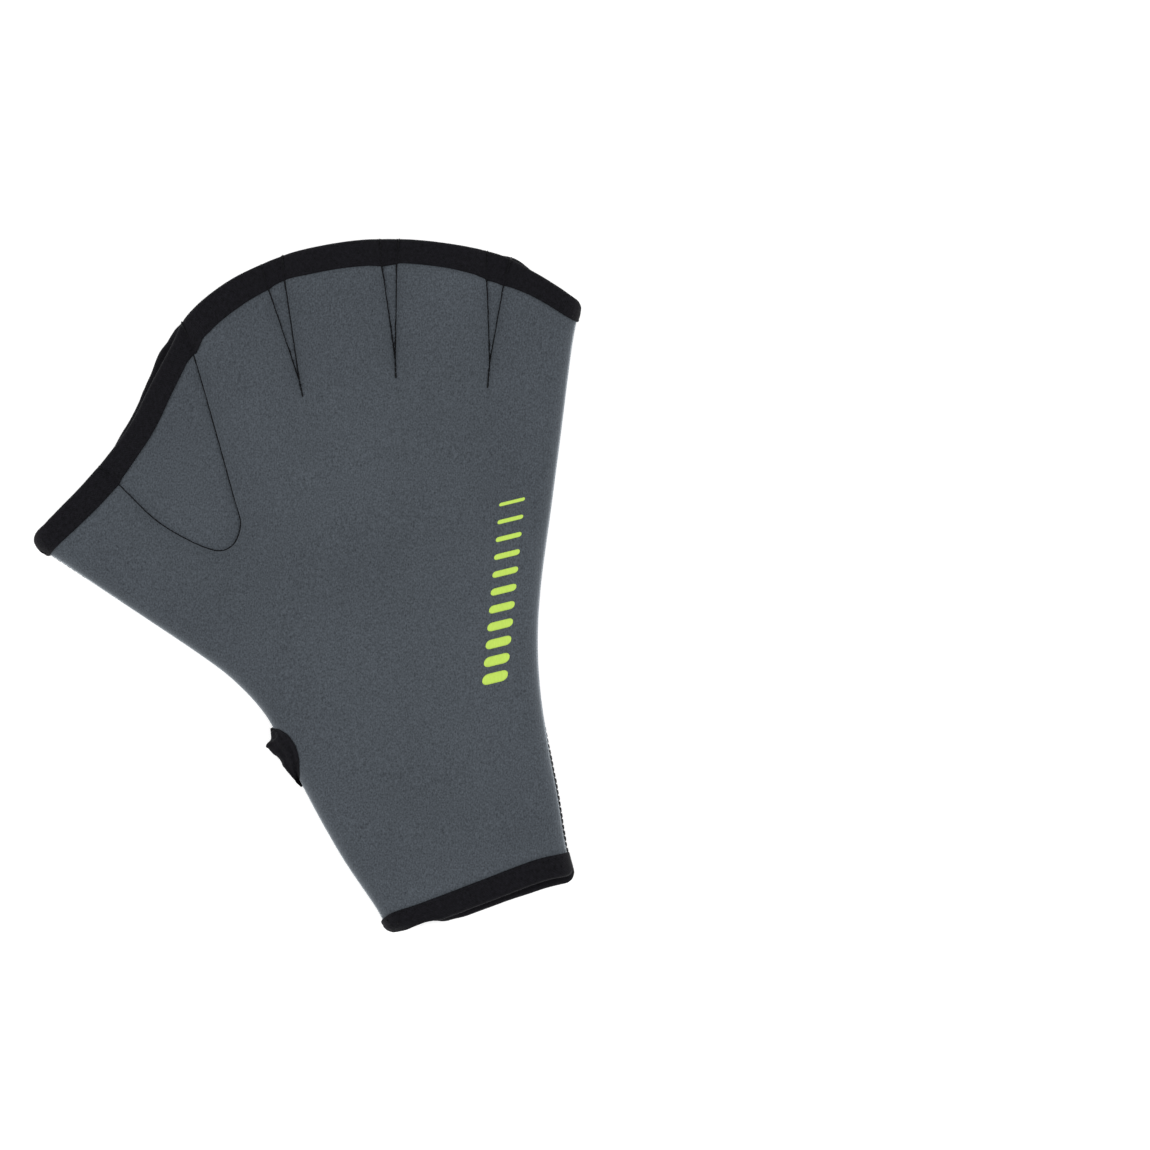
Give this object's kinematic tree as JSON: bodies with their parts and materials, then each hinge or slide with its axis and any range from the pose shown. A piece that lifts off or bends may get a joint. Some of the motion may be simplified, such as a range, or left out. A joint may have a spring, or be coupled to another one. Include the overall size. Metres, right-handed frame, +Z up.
{
  "type": "webbed swim glove",
  "caption": "Fingerless webbed swim glove in grey neoprene, taped finger and wrist openings, web seams between the fingers, a vent in the thumb-side seam, lying palm down",
  "frame": {"origin": "centre of the glove's outline seen from above, at the height of the surface that it lies on", "axes": "+Y runs from the wrist to the fingertips, -X to the thumb, and +Z is up out of the back of the hand"},
  "size_m": [0.1973, 0.2494, 0.0133],
  "materials": {
    "neoprene": "matt grey knit facing on neoprene",
    "tape": "black woven binding tape",
    "vent_tape": "black woven binding tape round the vent",
    "thread": "black polyester thread"
  },
  "bodies": {
    "root": {"dorsal_panel": "neoprene", "palm_panel": "neoprene", "finger_binding": "tape", "wrist_binding": "tape", "vent_binding": "vent_tape", "little_finger_seam": "thread", "thumb_seam_lower": "thread", "thumb_seam_upper": "thread"}
  },
  "joints": []
}
